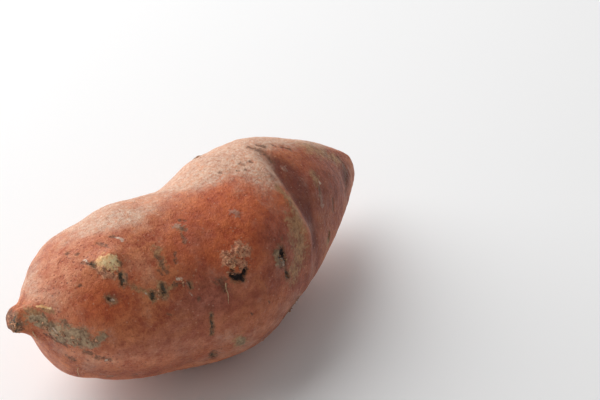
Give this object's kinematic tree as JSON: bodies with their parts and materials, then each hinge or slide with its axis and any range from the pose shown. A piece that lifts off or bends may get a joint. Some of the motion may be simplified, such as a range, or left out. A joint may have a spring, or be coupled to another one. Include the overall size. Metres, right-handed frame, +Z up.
{
  "type": "sweet potato",
  "caption": "Raw sweet potato with its skin on, lying on its belly: a thick orange-brown root with a stem stub, a waist, a shoulder fold and a tapering tail.",
  "frame": {"origin": "on the surface the root lies on, in the middle of its length and width", "axes": "+X from the stem stub to the tail, +Z up as it lies, -Y towards the front with most of the eyes"},
  "size_m": [0.17, 0.0776, 0.0711],
  "materials": {
    "skin": "thin matte root skin, terracotta to orange, dusty and pinkish on top, with corky grey scars and dark eyes"
  },
  "bodies": {
    "root": {"sweet_potato": "skin"}
  },
  "joints": []
}
